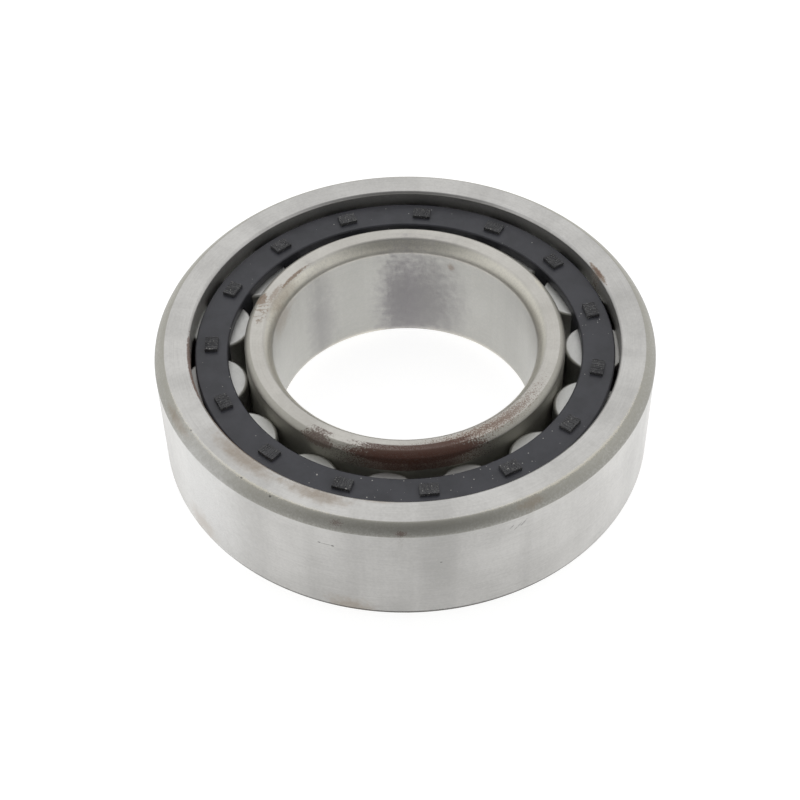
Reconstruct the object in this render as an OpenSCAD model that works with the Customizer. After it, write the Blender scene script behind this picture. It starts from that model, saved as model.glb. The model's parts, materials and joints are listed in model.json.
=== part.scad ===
// Cylindrical roller bearing with a separable, plain inner ring.
//
// The outer ring guides the rollers between two solid flanges. The inner ring
// has none, so it slides out of the roller set along the axis. The cage is a
// comb, whose bars stand between the rollers, and a cover ring that the ends of
// the bars pass through and are headed over.
//
// The origin is the bearing's centre. +Z runs along its axis, towards the side
// where the bars are headed. Roller 1 lies on +X. Sizes are in millimetres.

/* [Rings] */
// Diameter of the bore, which takes the shaft
bore_d = 45; // [36:0.5:60]
// Width of both rings along the axis
ring_width = 23; // [18:0.5:30]
// Least wall of the inner ring, from its bore to its raceway
inner_wall = 4.75; // [3.5:0.05:7]
// Wall of the outer ring behind its raceway
outer_wall = 4.2; // [3:0.05:7]
// Width of each flange of the outer ring
flange_w = 3.95; // [3:0.05:5]
// Height of each flange over the raceway
flange_h = 1.8; // [1.2:0.05:2.4]

/* [Ring corners] */
// Width of the corners round the outside of the outer ring
outer_corner = 1.8; // [0.6:0.1:2.2]
// Width of the corners at the ends of the bore, across the face
bore_corner = 1.7; // [0.6:0.1:2.2]
// Length of the same corners along the bore
bore_corner_l = 2.3; // [0.6:0.1:3]
// Width of the lead-in corners at the ends of the inner raceway
race_corner = 1; // [0.3:0.05:1.3]
// Width of the corners at the mouth of each flange
flange_corner = 0.45; // [0.2:0.05:0.8]
// Arc radius of a ring's corner over the corner's width, where 1 is a quarter round
ring_crown = 2; // [1.05:0.05:3]
// Radius of the relief groove between the outer raceway and each flange
relief_r = 0.35; // [0.2:0.05:0.6]

/* [Rollers] */
// Diameter of a roller
roller_d = 11; // [9:0.1:13.5]
// Number of rollers
roller_count = 15; // [12:1:18]
// Width of the rounded edge at each end of a roller
roller_corner = 0.5; // [0.3:0.05:0.9]
// Arc radius of a roller's edge over the edge's width
roller_crown = 1.1; // [1.05:0.05:2]

/* [Cage] */
// Radial width of the cage's rings and bars
cage_w = 5.6; // [4.6:0.1:6.8]
// Thickness of the cover, and of the comb's own ring
cage_ring_t = 1.65; // [1.2:0.05:2.2]
// Least thickness of a bar between two rollers
bar_w = 2.3; // [1.8:0.05:3]
// Width of the rounded edges of the cage's two rings
cage_corner = 0.25; // [0.1:0.05:0.5]
// Shoulder of a bar on each side of its tenon, which the cover rests on
tenon_shoulder = 0.1; // [0.05:0.05:0.3]
// Distance from a tenon to the inner and outer edges of the cage
tenon_edge = 2.05; // [1.4:0.05:2.1]
// Height of a tenon's head over the cover
head_h = 0.45; // [0.3:0.05:0.8]
// Spread of a head past its tenon, towards and away from the bearing's axis
head_spread_r = 0.3; // [0.2:0.05:0.6]
// Spread of a head past its tenon, along the cage
head_spread_t = 0.45; // [0.3:0.05:0.9]
// Slope of a head's sides, from its foot to its top
head_draft = 0.15; // [0.05:0.05:0.25]

/* [Clearances] */
// Gap between a roller and each raceway
race_play = 0.025; // [0.01:0.005:0.05]
// Gap between a roller's end and each flange
side_play = 0.05; // [0.03:0.01:0.1]
// Gap between a roller and the pocket round it
pocket_play = 0.15; // [0.1:0.05:0.3]
// Gap between a roller's end and each of the cage's rings
pocket_end_play = 0.1; // [0.05:0.05:0.3]
// Gap between the cage and the flanges
cage_gap = 0.75; // [0.4:0.05:1.2]
// Gap round a tenon in the cover's slot
slot_play = 0.05; // [0.02:0.01:0.1]

/* [Hidden] */
$fn = 180;

// Rollers: the pitch circle leaves room for the shaft, the inner wall and the bars
step = 360 / roller_count;
roller_r = roller_d / 2;
pocket_r = roller_r + pocket_play;
pitch_r = max(bore_d / 2 + inner_wall + race_play + roller_r,
              (pocket_r + bar_w / 2) / sin(step / 2));
roller_len = ring_width - 2 * (flange_w + side_play);

// Rings
bore_r = bore_d / 2;
inner_race_r = pitch_r - roller_r - race_play;
outer_race_r = pitch_r + roller_r + race_play;
outer_r = outer_race_r + outer_wall;
flange_bore_r = outer_race_r - flange_h;
race_len = ring_width - 2 * flange_w;

// Cage
cage_out_r = flange_bore_r - cage_gap;
cage_in_r = cage_out_r - cage_w;
cage_mid_r = (cage_in_r + cage_out_r) / 2;
pocket_half = roller_len / 2 + pocket_end_play;
cage_half = pocket_half + cage_ring_t;
bar_waist = 2 * (pitch_r * sin(step / 2) - pocket_r);
tenon_l = cage_w - 2 * tenon_edge;
tenon_w = bar_waist - 2 * tenon_shoulder;
head_l = tenon_l + 2 * head_spread_r;
head_w = tenon_w + 2 * head_spread_t;

// A cutter runs this far past the face that it opens
past = 1;

function roller_name(i) = str("roller_", i < 10 ? "0" : "", i);

// What a rounded corner takes off a section whose corner is at the origin and
// whose material lies towards +X and +Y. The arc runs from (w, 0) to (0, l).
module corner_waste(w, l, crown) {
    chord = sqrt(w * w + l * l);
    arc_r = crown * chord / sqrt(2);
    off = sqrt(arc_r * arc_r - chord * chord / 4);
    centre = [w / 2 + off * l / chord, l / 2 + off * w / chord];
    difference() {
        translate([-w, -l]) square([w, l] + centre);
        translate(centre) circle(r = arc_r);
    }
}

// The same at radius r and height z of a section. side is 1 where the material
// lies outwards of r and -1 where it lies inwards, and end is the sign of z.
module corner_cut(r, z, side, end, w, l, crown) {
    translate([r, z]) scale_sides(side, -end) corner_waste(w, l, crown);
}

// Mirrors a section in X or Y where the sign given for it is negative.
module scale_sides(x, y) {
    mirror([x < 0 ? 1 : 0, 0]) mirror([0, y < 0 ? 1 : 0]) children();
}

// A rectangular section between two radii and two heights.
module band(r0, r1, z0, z1) {
    translate([r0, z0]) square([r1 - r0, z1 - z0]);
}

// Places its children at the pitch angle of roller i. Half steps are the bars.
module around(i) {
    rotate([0, 0, (i - 1) * step]) children();
}

// Outer ring: a raceway between two flanges, with relief grooves in its corners.
module outer_ring() {
    half = ring_width / 2;
    color([0.74, 0.73, 0.71])
    rotate_extrude()
    difference() {
        band(flange_bore_r, outer_r, -half, half);
        band(flange_bore_r - past, outer_race_r, -race_len / 2, race_len / 2);
        for (end = [-1, 1]) {
            translate([outer_race_r, end * race_len / 2]) circle(r = relief_r, $fn = 48);
            corner_cut(outer_r, end * half, -1, end, outer_corner, outer_corner, ring_crown);
            corner_cut(flange_bore_r, end * half, 1, end, flange_corner, flange_corner, ring_crown);
        }
    }
}

// Inner ring: a plain sleeve with a raceway outside and the shaft's bore inside.
module inner_ring() {
    half = ring_width / 2;
    color([0.70, 0.69, 0.66])
    rotate_extrude()
    difference() {
        band(bore_r, inner_race_r, -half, half);
        for (end = [-1, 1]) {
            corner_cut(bore_r, end * half, 1, end, bore_corner, bore_corner_l, ring_crown);
            corner_cut(inner_race_r, end * half, -1, end, race_corner, race_corner, ring_crown);
        }
    }
}

// Roller: a ground cylinder with flat ends and rounded edges.
module roller() {
    color([0.80, 0.80, 0.80])
    rotate_extrude($fn = 96)
    difference() {
        band(0, roller_r, -roller_len / 2, roller_len / 2);
        for (end = [-1, 1])
            corner_cut(roller_r, end * roller_len / 2, -1, end,
                       roller_corner, roller_corner, roller_crown);
    }
}

// The space that a roller needs in the comb, open towards the cover.
module pocket() {
    translate([pitch_r, 0, -pocket_half])
        cylinder(r = pocket_r, h = 2 * pocket_half + past, $fn = 96);
}

// A block that tapers by draft on every side, from its foot to its top.
module tapered_block(l, w, h, draft) {
    intersection() {
        rotate([90, 0, 0]) linear_extrude(height = w, center = true)
            polygon([[-l / 2, 0], [l / 2, 0], [l / 2 - draft, h], [-l / 2 + draft, h]]);
        rotate([90, 0, 90]) linear_extrude(height = l, center = true)
            polygon([[-w / 2, 0], [w / 2, 0], [w / 2 - draft, h], [-w / 2 + draft, h]]);
    }
}

// The end of a bar: a tenon that passes the cover, and the head that holds it.
module headed_tenon() {
    root = cage_ring_t;
    translate([cage_mid_r - tenon_l / 2, -tenon_w / 2, pocket_half - root])
        cube([tenon_l, tenon_w, root + cage_ring_t + head_h / 2]);
    translate([cage_mid_r, 0, cage_half])
        tapered_block(head_l, head_w, head_h, head_draft);
}

// Cage comb: a ring with a bar between every two rollers, cut to the rollers' curve.
module cage_comb() {
    color([0.20, 0.20, 0.22])
    union() {
        difference() {
            rotate_extrude() difference() {
                band(cage_in_r, cage_out_r, -cage_half, pocket_half);
                corner_cut(cage_in_r, -cage_half, 1, -1, cage_corner, cage_corner, ring_crown);
                corner_cut(cage_out_r, -cage_half, -1, -1, cage_corner, cage_corner, ring_crown);
            }
            for (i = [1 : roller_count]) around(i) pocket();
        }
        for (i = [1 : roller_count]) around(i + 0.5) headed_tenon();
    }
}

// Cage cover: a flat ring with a slot for each tenon, seated on the bars.
module cage_cover() {
    color([0.23, 0.23, 0.25])
    difference() {
        rotate_extrude() difference() {
            band(cage_in_r, cage_out_r, pocket_half, cage_half);
            corner_cut(cage_in_r, cage_half, 1, 1, cage_corner, cage_corner, ring_crown);
            corner_cut(cage_out_r, cage_half, -1, 1, cage_corner, cage_corner, ring_crown);
        }
        for (i = [1 : roller_count]) around(i + 0.5)
            translate([cage_mid_r, 0, (pocket_half + cage_half) / 2])
                cube([tenon_l + 2 * slot_play, tenon_w + 2 * slot_play,
                      cage_ring_t + 2 * past], center = true);
    }
}

outer_ring();
inner_ring();
cage_comb();
cage_cover();
for (i = [1 : roller_count])
    around(i) translate([pitch_r, 0, 0]) roller();
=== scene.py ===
"""Looks of a cylindrical roller bearing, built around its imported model.

The bearing stands flat, with its axis along Z. Angles run in degrees round that axis from +X towards +Y, and
roller 1 lies at 0. The rings and the rollers are turned parts, so each is a section revolved round its own
axis by one Geometry Nodes tree. The cage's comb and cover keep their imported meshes, and a second tree makes
the rough heads of the bars.
"""

from __future__ import annotations

import json
import logging
import math
from dataclasses import dataclass
from enum import Enum

import bpy
from mathutils import Matrix, Vector

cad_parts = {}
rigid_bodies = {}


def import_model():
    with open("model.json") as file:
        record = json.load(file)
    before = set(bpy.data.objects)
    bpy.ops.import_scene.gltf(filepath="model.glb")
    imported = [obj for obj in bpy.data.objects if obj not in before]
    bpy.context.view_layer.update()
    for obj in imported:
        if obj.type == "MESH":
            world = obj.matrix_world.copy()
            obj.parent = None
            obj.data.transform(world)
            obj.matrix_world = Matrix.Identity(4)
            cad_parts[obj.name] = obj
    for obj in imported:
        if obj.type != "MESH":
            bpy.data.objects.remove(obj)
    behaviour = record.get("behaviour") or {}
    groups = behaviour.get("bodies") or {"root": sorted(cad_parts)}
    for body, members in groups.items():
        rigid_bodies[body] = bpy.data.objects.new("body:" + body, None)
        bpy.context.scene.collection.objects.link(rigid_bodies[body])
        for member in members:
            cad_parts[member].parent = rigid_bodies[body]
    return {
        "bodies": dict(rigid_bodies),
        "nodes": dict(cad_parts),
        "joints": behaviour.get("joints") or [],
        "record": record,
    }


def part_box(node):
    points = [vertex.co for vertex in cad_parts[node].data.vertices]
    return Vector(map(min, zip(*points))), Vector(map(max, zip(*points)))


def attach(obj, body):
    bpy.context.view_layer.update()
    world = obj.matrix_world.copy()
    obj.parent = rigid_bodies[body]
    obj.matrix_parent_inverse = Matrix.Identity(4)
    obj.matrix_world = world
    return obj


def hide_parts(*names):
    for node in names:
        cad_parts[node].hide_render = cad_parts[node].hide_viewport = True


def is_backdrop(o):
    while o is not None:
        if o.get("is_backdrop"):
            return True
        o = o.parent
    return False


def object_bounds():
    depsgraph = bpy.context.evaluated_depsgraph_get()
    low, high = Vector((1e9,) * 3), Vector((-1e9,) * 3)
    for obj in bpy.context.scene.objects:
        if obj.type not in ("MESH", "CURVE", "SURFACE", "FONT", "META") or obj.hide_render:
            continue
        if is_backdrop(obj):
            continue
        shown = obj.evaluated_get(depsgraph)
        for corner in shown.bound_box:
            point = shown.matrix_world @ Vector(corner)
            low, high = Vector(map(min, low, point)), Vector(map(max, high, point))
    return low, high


LOG = logging.getLogger("bearing")
MM = 0.001
PLACE = "turned_place"

# Heights in millimetres between which a mark on a face fades in, and half the width of the seam between the
# marks of a ring's outside and those of its bore
FACE_FROM, FACE_FULL = 7.5, 7.7
WALL_BLEND = 0.1
# Points along the edges of a bar's head
HEAD_STEPS = (16, 34, 4)

Point = tuple[float, float]
Triple = tuple[float, float, float]
Socket = bpy.types.NodeSocket


class Slot(Enum):
    """The record's material slots."""

    RING = "ring_steel"
    ROLLER = "roller_steel"
    CAGE = "cage_plastic"


class Graph:
    """A node tree and short calls that build it."""

    def __init__(self, tree: bpy.types.NodeTree) -> None:
        """Wraps a tree.

        Args:
            tree: The shader or geometry tree to build in.
        """
        self.tree = tree

    def node(self, kind: str, **settings: object) -> bpy.types.Node:
        """Adds a node.

        Args:
            kind: Blender's identifier of the node.
            **settings: Properties to set on the node.

        Returns:
            The new node.
        """
        made = self.tree.nodes.new(kind)
        for name, value in settings.items():
            setattr(made, name, value)
        return made

    def feed(self, target: Socket, value: object) -> None:
        """Gives an input socket a link, or a plain value.

        Args:
            target: The input socket.
            value: An output socket to link, or a value to store.
        """
        if isinstance(value, Socket):
            self.tree.links.new(value, target)
        else:
            target.default_value = value

    def run(self, kind: str, inputs: dict[str | int, object], out: str | int = 0, **settings: object
            ) -> Socket:
        """Adds a node, feeds its inputs and gives one of its outputs.

        Args:
            kind: Blender's identifier of the node.
            inputs: Input names or positions, with links or values.
            out: Name or position of the output.
            **settings: Properties to set on the node.

        Returns:
            The output socket.
        """
        made = self.node(kind, **settings)
        for name, value in inputs.items():
            self.feed(made.inputs[name], value)
        return made.outputs[out]

    def math(self, operation: str, *values: object, clamp: bool = False) -> Socket:
        """Adds a Math node.

        Args:
            operation: Name of the operation.
            *values: Links or numbers for its inputs.
            clamp: Whether the result is held between 0 and 1.

        Returns:
            The result.
        """
        return self.run("ShaderNodeMath", dict(enumerate(values)), operation=operation, use_clamp=clamp)

    def ramp(self, value: object, low: object, high: object, start: float = 0.0, end: float = 1.0
             ) -> Socket:
        """Maps a value smoothly from one range to another, and holds it at both ends.

        Args:
            value: The value to map.
            low: Where the ramp starts.
            high: Where the ramp ends.
            start: Result at low.
            end: Result at high.

        Returns:
            The result.
        """
        return self.run("ShaderNodeMapRange", {"Value": value, "From Min": low, "From Max": high,
                                               "To Min": start, "To Max": end},
                        interpolation_type="SMOOTHSTEP")

    def noise(self, place: object, scale: float, detail: float = 3.0, rough: float = 0.55) -> Socket:
        """Adds a noise pattern.

        Args:
            place: Coordinates that it reads.
            scale: How fine it is, in cells for each unit of the coordinates.
            detail: Number of finer layers.
            rough: Strength of the finer layers.

        Returns:
            The pattern, between 0 and 1.
        """
        return self.run("ShaderNodeTexNoise", {"Vector": place, "Scale": scale, "Detail": detail,
                                               "Roughness": rough})

    def mix(self, share: object, first: object, second: object) -> Socket:
        """Mixes two colours.

        Args:
            share: Share of the second colour.
            first: First colour, as a link or three numbers.
            second: Second colour, as a link or three numbers.

        Returns:
            The mixed colour.
        """
        made = self.node("ShaderNodeMix", data_type="RGBA")
        self.feed(made.inputs[0], share)
        for socket, colour in ((made.inputs[6], first), (made.inputs[7], second)):
            self.feed(socket, (*colour, 1.0) if isinstance(colour, tuple) else colour)
        return made.outputs[2]

    def place(self, kind: bpy.types.NodeTree, **inputs: object) -> bpy.types.Node:
        """Places a node group.

        Args:
            kind: The group's tree.
            **inputs: Inputs of the group, with _ for each space in their names.

        Returns:
            The group node.
        """
        made = self.node(f"{self.tree.bl_idname.removesuffix('Tree')}Group", node_tree=kind)
        for name, value in inputs.items():
            self.feed(made.inputs[name.replace("_", " ")], value)
        return made


def new_tree(name: str, kind: str, inputs: dict[str, tuple[str, object]], outputs: dict[str, str]
             ) -> tuple[Graph, bpy.types.NodeOutputs, bpy.types.NodeInputs]:
    """Makes a node group with named sockets.

    Args:
        name: Name of the group.
        kind: ShaderNodeTree or GeometryNodeTree.
        inputs: Input names, each with its socket's type and default value.
        outputs: Output names, each with its socket's type.

    Returns:
        The graph, the sockets that give the group's inputs, and those that take its outputs.
    """
    tree = bpy.data.node_groups.new(name, kind)
    for label, (socket_type, value) in inputs.items():
        socket = tree.interface.new_socket(label, in_out="INPUT", socket_type=f"NodeSocket{socket_type}")
        if value is not None:
            socket.default_value = value
    for label, socket_type in outputs.items():
        tree.interface.new_socket(label, in_out="OUTPUT", socket_type=f"NodeSocket{socket_type}")
    graph = Graph(tree)
    return graph, graph.node("NodeGroupInput").outputs, graph.node("NodeGroupOutput").inputs


@dataclass(frozen=True)
class Corner:
    """A right-angled corner of a turned section, in millimetres.

    A crown of 1 rounds it with a quarter circle of that width, and more gives a flatter arc. A grooved corner
    is cut back round its own point instead, as a relief groove is.
    """

    r: float
    z: float
    width: float
    crown: float = 1.0
    length: float = 0.0
    grooved: bool = False

    def arc(self, back: Vector, ahead: Vector, steps: int) -> list[Vector]:
        """Gives the points of the corner's arc.

        Args:
            back: Unit direction from the corner to the point before it.
            ahead: Unit direction from the corner to the point after it.
            steps: Number of steps along the arc.

        Returns:
            The points, from the edge before the corner to the edge after it.
        """
        at = Vector((self.r, self.z))
        if self.grooved:
            angles = [-270 * i / (3 * steps) for i in range(3 * steps + 1)]
            radius, middle = self.width, Vector((0.0, 0.0))
        else:
            along = self.length or self.width
            first, last = (along, self.width) if abs(back.y) > abs(back.x) else (self.width, along)
            chord = math.hypot(first, last)
            radius = self.crown * chord / math.sqrt(2)
            off = math.sqrt(radius**2 - chord**2 / 4)
            middle = Vector((first / 2 + off * last / chord, last / 2 + off * first / chord))
            start = math.degrees(math.atan2(-middle.y, first - middle.x)) % 360
            end = math.degrees(math.atan2(last - middle.y, -middle.x)) % 360
            angles = [start + (end - start) * i / steps for i in range(steps + 1)]
        return [at + back * (middle.x + radius * math.cos(math.radians(a)))
                + ahead * (middle.y + radius * math.sin(math.radians(a))) for a in angles]


def outline(corners: list[Corner], closed: bool, steps: int = 8, support: float = 0.03) -> list[Vector]:
    """Rounds the corners of a section and adds a supporting point beside each arc.

    Args:
        corners: The corners in order, with the material on the left.
        closed: Whether the last corner joins the first. An open section starts and ends on the axis.
        steps: Number of steps along each arc.
        support: Distance from an arc to the supporting points beside it, in millimetres.

    Returns:
        The points, with the first one repeated at the end of a closed section.
    """
    count = len(corners)
    points: list[Vector] = []
    for i, corner in enumerate(corners):
        at = Vector((corner.r, corner.z))
        if not closed and i in (0, count - 1):
            points.append(at)
            continue
        before, after = corners[i - 1], corners[(i + 1) % count]
        back = (Vector((before.r, before.z)) - at).normalized()
        ahead = (Vector((after.r, after.z)) - at).normalized()
        arc = corner.arc(back, ahead, steps)
        points += [arc[0] + back * support, *arc, arc[-1] + ahead * support]
    return points + points[:1] if closed else points


def plain_mesh(piece: bpy.types.Object) -> bpy.types.Object:
    """Turns what a piece's modifiers make into its own mesh, and removes the modifiers.

    Args:
        piece: The piece.

    Returns:
        The same piece.
    """
    bpy.context.view_layer.update()
    made = bpy.data.meshes.new_from_object(piece.evaluated_get(bpy.context.evaluated_depsgraph_get()))
    old = piece.data
    piece.modifiers.clear()
    piece.data = made
    bpy.data.meshes.remove(old)
    made.name = piece.name
    return piece


def run_tree(piece: bpy.types.Object, tree: bpy.types.NodeTree, inputs: dict[str, object]
             ) -> bpy.types.Object:
    """Runs a geometry tree on a piece and keeps the result as a plain mesh.

    Args:
        piece: The piece that carries the tree's input mesh.
        tree: The geometry tree.
        inputs: The tree's inputs by name.

    Returns:
        The same piece.
    """
    modifier = piece.modifiers.new(tree.name, "NODES")
    modifier.node_group = tree
    sockets = {s.name: s.identifier for s in tree.interface.items_tree
               if getattr(s, "in_out", "") == "INPUT"}
    for name, value in inputs.items():
        modifier[sockets[name]] = value
    return plain_mesh(piece)


def new_piece(name: str, points: list[Triple] = ()) -> bpy.types.Object:
    """Adds a piece to the scene.

    Args:
        name: The piece's name.
        points: Points of its starting mesh.

    Returns:
        The piece, at the origin.
    """
    mesh = bpy.data.meshes.new(name)
    mesh.from_pydata(points, [], [])
    piece = bpy.data.objects.new(name, mesh)
    bpy.context.scene.collection.objects.link(piece)
    return piece


class Lathe:
    """Revolves sections round an axis with one Geometry Nodes tree."""

    def __init__(self) -> None:
        """Builds the tree."""
        graph, given, made = new_tree(
            "turned part", "GeometryNodeTree",
            {"Section": ("Geometry", None), "Segments": ("Int", 96), "Centre": ("Vector", (0, 0, 0)),
             "Unit": ("Float", MM), "Weld": ("Float", 1e-6), "Finish": ("Material", None)},
            {"Part": "Geometry"})
        count = graph.run("GeometryNodeAttributeDomainSize", {"Geometry": given["Section"]},
                          out="Point Count")
        across = graph.math("ADD", given["Segments"], 1)
        sheet = graph.run("GeometryNodeMeshGrid", {"Vertices X": across, "Vertices Y": count}, out="Mesh")
        index = graph.run("GeometryNodeInputIndex", {})
        column = graph.math("FLOOR", graph.math("DIVIDE", graph.math("ADD", index, 0.5), count))
        row = graph.math("SUBTRACT", index, graph.math("MULTIPLY", column, count))
        at = graph.run("GeometryNodeSampleIndex",
                       {"Geometry": given["Section"], "Value": graph.run("GeometryNodeInputPosition", {}),
                        "Index": row}, data_type="FLOAT_VECTOR")
        parts = graph.node("ShaderNodeSeparateXYZ")
        graph.feed(parts.inputs[0], at)
        angle = graph.math("DIVIDE", graph.math("MULTIPLY", column, math.tau), given["Segments"])
        place = graph.run("ShaderNodeCombineXYZ", {
            "X": graph.math("MULTIPLY", parts.outputs["X"], graph.math("COSINE", angle)),
            "Y": graph.math("MULTIPLY", parts.outputs["X"], graph.math("SINE", angle)),
            "Z": parts.outputs["Z"]})
        marked = graph.run("GeometryNodeStoreNamedAttribute",
                           {"Geometry": sheet, "Name": PLACE, "Value": place},
                           data_type="FLOAT_VECTOR", domain="POINT")
        scaled = graph.run("ShaderNodeVectorMath", {0: place, "Scale": given["Unit"]}, operation="SCALE")
        moved = graph.run("ShaderNodeVectorMath", {0: scaled, 1: given["Centre"]}, operation="ADD")
        shaped = graph.run("GeometryNodeSetPosition", {"Geometry": marked, "Position": moved})
        welded = graph.run("GeometryNodeMergeByDistance", {"Geometry": shaped, "Distance": given["Weld"]})
        smooth = graph.run("GeometryNodeSetShadeSmooth", {"Geometry": welded})
        real = graph.run("GeometryNodeRealizeInstances", {"Geometry": smooth})
        dressed = graph.run("GeometryNodeSetMaterial", {"Geometry": real, "Material": given["Finish"]})
        graph.feed(made["Part"], dressed)
        self.tree = graph.tree

    def turn(self, name: str, section: list[Vector], segments: int, finish: bpy.types.Material,
             centre: Point = (0.0, 0.0)) -> bpy.types.Object:
        """Revolves a section into a closed part.

        Args:
            name: Name of the piece.
            section: Points of the section in radius and height, in millimetres.
            segments: Number of steps round the axis.
            finish: The piece's material.
            centre: Where the axis stands, in metres.

        Returns:
            The piece.
        """
        piece = new_piece(name, [(p.x, 0.0, p.y) for p in section])
        return run_tree(piece, self.tree, {"Segments": segments, "Centre": (*centre, 0.0), "Finish": finish})


def polar_group() -> bpy.types.NodeTree:
    """Builds the group that turns a place in millimetres into an angle in degrees, a radius and a height.

    Returns:
        The group.
    """
    graph, given, made = new_tree("polar place", "ShaderNodeTree", {"Place": ("Vector", None)},
                                  {"Angle": "Float", "Radius": "Float", "Height": "Float"})
    parts = graph.node("ShaderNodeSeparateXYZ")
    graph.feed(parts.inputs[0], given["Place"])
    x, y, z = parts.outputs
    turned = graph.math("DEGREES", graph.math("ARCTAN2", y, x))
    graph.feed(made["Angle"], graph.math("FLOORED_MODULO", turned, 360.0))
    square = graph.math("ADD", graph.math("MULTIPLY", x, x), graph.math("MULTIPLY", y, y))
    graph.feed(made["Radius"], graph.math("SQRT", square))
    graph.feed(made["Height"], z)
    return graph.tree


def lay_group() -> bpy.types.NodeTree:
    """Builds the group for the fine lines that grinding and turning leave round a part.

    The lines follow the turn. Long sets how far one runs, and Fine how close the next one lies.

    Returns:
        The group.
    """
    graph, given, made = new_tree(
        "ground lay", "ShaderNodeTree",
        {"Angle": ("Float", 0.0), "Radius": ("Float", 0.0), "Height": ("Float", 0.0), "Long": ("Float", 6.0),
         "Fine": ("Float", 5.0)},
        {"Lay": "Float"})
    turn = graph.math("RADIANS", given["Angle"])
    across = graph.math("ADD", given["Radius"], given["Height"])
    place = graph.run("ShaderNodeCombineXYZ", {
        "X": graph.math("MULTIPLY", graph.math("COSINE", turn), given["Long"]),
        "Y": graph.math("MULTIPLY", graph.math("SINE", turn), given["Long"]),
        "Z": graph.math("MULTIPLY", across, given["Fine"])})
    graph.feed(made["Lay"], graph.noise(place, 1.0, 4.0, 0.6))
    return graph.tree


def mark_group() -> bpy.types.NodeTree:
    """Builds the group that masks one ragged mark, by its place round the axis and across the surface.

    Returns:
        The group.
    """
    graph, given, made = new_tree(
        "ragged mark", "ShaderNodeTree",
        {"Angle": ("Float", 0.0), "Across": ("Float", 0.0), "Torn": ("Float", 0.5),
         "Middle Angle": ("Float", 0.0), "Half Angle": ("Float", 5.0),
         "Middle Across": ("Float", 0.0), "Half Across": ("Float", 1.0),
         "Ragged": ("Float", 1.0), "Lean": ("Float", 0.0), "Soft": ("Float", 0.2)},
        {"Mask": "Float"})
    turned = graph.math("SUBTRACT", given["Angle"], given["Middle Angle"])
    around = graph.math("FLOORED_MODULO", graph.math("ADD", turned, 180.0), 360.0)
    near = graph.math("SUBTRACT", around, 180.0)
    off = graph.math("SUBTRACT", given["Across"], given["Middle Across"])
    leaned = graph.math("SUBTRACT", near, graph.math("MULTIPLY", off, given["Lean"]))
    shares = [graph.math("DIVIDE", leaned, given["Half Angle"]),
              graph.math("DIVIDE", off, given["Half Across"])]
    squares = [graph.math("MULTIPLY", share, share) for share in shares]
    away = graph.math("SQRT", graph.math("ADD", *squares))
    torn = graph.math("MULTIPLY", graph.math("SUBTRACT", given["Torn"], 0.5), given["Ragged"])
    full = graph.math("SUBTRACT", 1.0, given["Soft"])
    graph.feed(made["Mask"], graph.ramp(graph.math("ADD", away, torn), 1.0, full))
    return graph.tree


def vein_group() -> bpy.types.NodeTree:
    """Builds the group for creeping lines, such as those that moisture leaves on steel.

    Returns:
        The group.
    """
    graph, given, made = new_tree(
        "creeping lines", "ShaderNodeTree",
        {"Place": ("Vector", None), "Fine": ("Float", 0.6), "Line": ("Float", 0.03)}, {"Mask": "Float"})
    noise = graph.noise(given["Place"], given["Fine"], 3.0, 0.6)
    off = graph.math("ABSOLUTE", graph.math("SUBTRACT", noise, 0.5))
    graph.feed(made["Mask"], graph.ramp(off, given["Line"], 0.0))
    return graph.tree


def speck_group() -> bpy.types.NodeTree:
    """Builds the group for scattered specks, such as dust or pits.

    Returns:
        The group.
    """
    graph, given, made = new_tree(
        "specks", "ShaderNodeTree",
        {"Place": ("Vector", None), "Fine": ("Float", 1.0), "Size": ("Float", 0.12), "Share": ("Float", 0.3)},
        {"Mask": "Float"})
    cells = graph.node("ShaderNodeTexVoronoi")
    for name, value in (("Vector", given["Place"]), ("Scale", given["Fine"])):
        graph.feed(cells.inputs[name], value)
    tone = graph.node("ShaderNodeSeparateColor")
    graph.feed(tone.inputs[0], cells.outputs["Color"])
    size = graph.math("MULTIPLY", given["Size"], graph.math("ADD", tone.outputs[1], 0.3))
    inside = graph.ramp(cells.outputs["Distance"], size, graph.math("MULTIPLY", size, 0.5))
    chosen = graph.math("LESS_THAN", tone.outputs[0], given["Share"])
    graph.feed(made["Mask"], graph.math("MULTIPLY", inside, chosen))
    return graph.tree


class StainAndLight(Enum):
    """Colours of the marks on the steel: stains, and painted highlights, shade and reflections."""

    TAN = (0.36, 0.28, 0.20)
    BROWN = (0.26, 0.165, 0.10)
    RUST = (0.17, 0.085, 0.055)
    DARK = (0.088, 0.034, 0.021)
    # Painted highlight, laid along edges where the light catches
    CREAM = (0.80, 0.76, 0.64)
    # Painted light, a paler patch on the outside wall
    PALE = (0.88, 0.88, 0.87)
    # Soot for small spots and scratches, and painted shade for dark lines and patches
    SOOT_AND_SHADE = (0.05, 0.045, 0.04)
    # Painted reflection, broad violet-grey bands
    VIOLET = (0.35, 0.335, 0.35)


class Wall(Enum):
    """The walls of a ring that a mark can lie on."""

    TOP = "top face"
    BOTTOM = "bottom face"
    OUTSIDE = "outside"
    BORE = "bore"


class Tear(Enum):
    """How finely the edge of a mark is torn."""

    COARSE = "coarse"
    FINE = "fine"
    SPECKLED = "speckled"
    VEINED = "veined"


@dataclass(frozen=True)
class Mark:
    """One mark on a ring, by angle in degrees. Most are stains; some are painted highlights, shade and
    reflections.

    Low and high are radii on a face and heights on a wall, in millimetres. Lean tilts it, in degrees for each
    millimetre across.
    """

    stain: StainAndLight
    wall: Wall
    start: float
    end: float
    low: float
    high: float
    strength: float = 0.8
    ragged: float = 1.2
    tear: Tear = Tear.COARSE
    lean: float = 0.0
    soft: float = 0.25


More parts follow.
